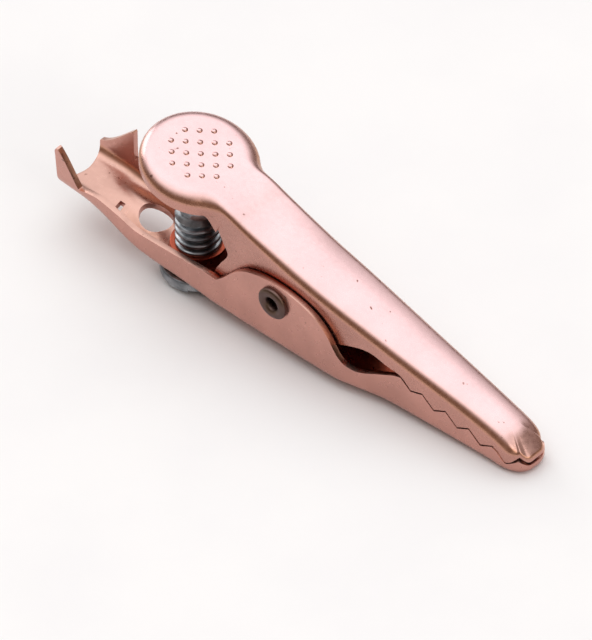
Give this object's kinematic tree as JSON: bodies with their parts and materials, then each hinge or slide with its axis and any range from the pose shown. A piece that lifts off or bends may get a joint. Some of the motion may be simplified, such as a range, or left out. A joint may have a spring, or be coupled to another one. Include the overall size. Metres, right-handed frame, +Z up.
{
  "type": "alligator clip",
  "caption": "Sprung copper alligator clip with toothed jaws, a thumb pad, a terminal screw and a cable cradle with grip ears.",
  "frame": {"origin": "under the middle of the clip, on the surface it stands on", "axes": "+X along the clip towards the nose, +Y across the clip along the rivet, +Z up from the screw head to the thumb pad, with the clip standing on its screw head and nose"},
  "size_m": [0.0494, 0.0098, 0.0144],
  "materials": {
    "lower_jaw_copper": "bright solid copper sheet, stamped, lightly brushed",
    "upper_jaw_copper": "bright solid copper sheet, stamped, polished",
    "rivet_copper": "dull tubular copper rivet, rolled ends",
    "spring_steel": "drawn spring wire",
    "screw_zinc": "zinc plated, satin"
  },
  "bodies": {
    "lower_clip": {"lower_jaw": "lower_jaw_copper", "pivot_rivet": "rivet_copper", "torsion_spring": "spring_steel"},
    "upper_clip": {"upper_jaw": "upper_jaw_copper"},
    "screw": {"terminal_screw": "screw_zinc"}
  },
  "joints": [
    {"name": "jaw_pivot", "type": "hinge", "parent": "lower_clip", "child": "upper_clip", "pos_m": [-0.00035, 0, 0.0058], "axis": [0, -1, 0], "range_deg": [0, 18], "stiffness_Nm_per_rad": 0.005, "springref_deg": -20.05, "deforming": ["torsion_spring"]},
    {"name": "screw_travel", "type": "slide", "parent": "lower_clip", "child": "screw", "axis": [-0.061, 0, -0.9981], "range_m": [0, 0.003]}
  ]
}
